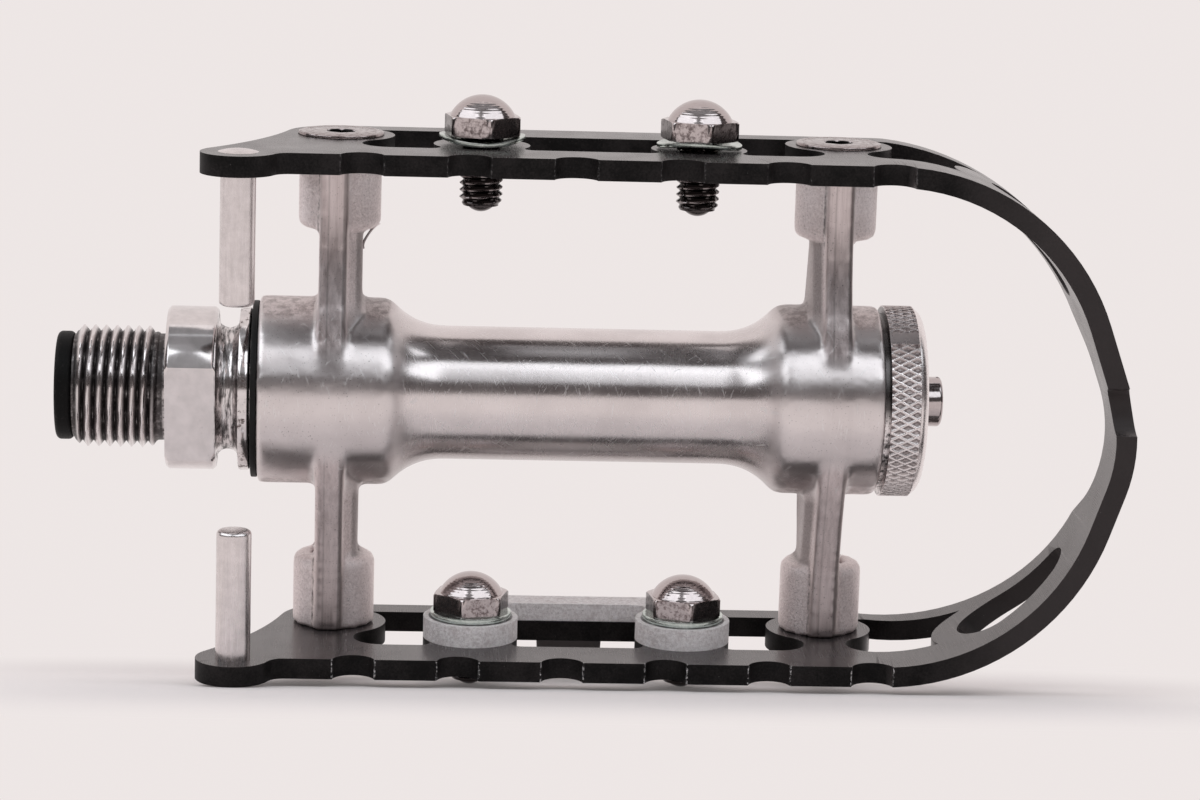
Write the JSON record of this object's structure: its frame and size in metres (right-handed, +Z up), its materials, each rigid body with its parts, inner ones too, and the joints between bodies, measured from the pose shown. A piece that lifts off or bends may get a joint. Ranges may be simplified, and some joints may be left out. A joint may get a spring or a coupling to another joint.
{
  "type": "bicycle pedal",
  "caption": "Right-hand road bicycle pedal: cast body on a ball-bearing spindle with a pierced, scalloped quill cage, clip bolts, strap pins and a knurled dust cap.",
  "frame": {"origin": "on the spindle axis, at the inboard end of the crank thread by the wrench flange's shoulder", "axes": "+X along the spindle towards the outboard end, +Z up as the pedal stands on its lower bolt tips and lower ear, +Y away from the scalloped edge"},
  "size_m": [0.1244, 0.0427, 0.0683],
  "materials": {
    "spindle_steel": "bright turned steel",
    "black_plastic": "matt moulded",
    "bearing_steel": "ground",
    "cast_aluminium": "polished casting, sandy in the recesses",
    "seal_rubber": "matt",
    "cap_aluminium": "diamond knurled rim",
    "plated_steel": "worn bright plating",
    "black_anodised": "black anodised, brushed",
    "pin_steel": "satin",
    "plate_aluminium": "sandy as cast"
  },
  "bodies": {
    "spindle": {"spindle": "spindle_steel", "spindle_end_plug": "black_plastic", "outer_cone": "bearing_steel", "tongue_washer": "bearing_steel", "lock_nut": "bearing_steel"},
    "pedal_body": {"pedal_body": "cast_aluminium", "inner_cup": "bearing_steel", "outer_cup": "bearing_steel", "inner_seal": "seal_rubber", "dust_cap": "cap_aluminium", "grease_screw": "plated_steel", "cage": "black_anodised", "cage_screws": "plated_steel", "upper_strap_pin": "pin_steel", "lower_strap_pin": "pin_steel", "clip_bolts": "plated_steel", "spring_washers": "pin_steel", "flat_washers": "pin_steel", "bridge_plate": "plate_aluminium"},
    "inner_ball_ring": {"inner_balls": "bearing_steel"},
    "outer_ball_ring": {"outer_balls": "bearing_steel"}
  },
  "joints": [
    {"name": "body_spin", "type": "hinge", "parent": "spindle", "child": "pedal_body", "pos_m": [0, 0, 0], "axis": [1, 0, 0], "continuous": true},
    {"name": "inner_ball_spin", "type": "hinge", "parent": "spindle", "child": "inner_ball_ring", "pos_m": [0, 0, 0], "axis": [1, 0, 0], "continuous": true},
    {"name": "outer_ball_spin", "type": "hinge", "parent": "spindle", "child": "outer_ball_ring", "pos_m": [0, 0, 0], "axis": [1, 0, 0], "continuous": true}
  ],
  "couplings": [
    {"joint": "inner_ball_spin", "follows": "body_spin", "ratio": 0.6032},
    {"joint": "outer_ball_spin", "follows": "body_spin", "ratio": 0.6032}
  ]
}
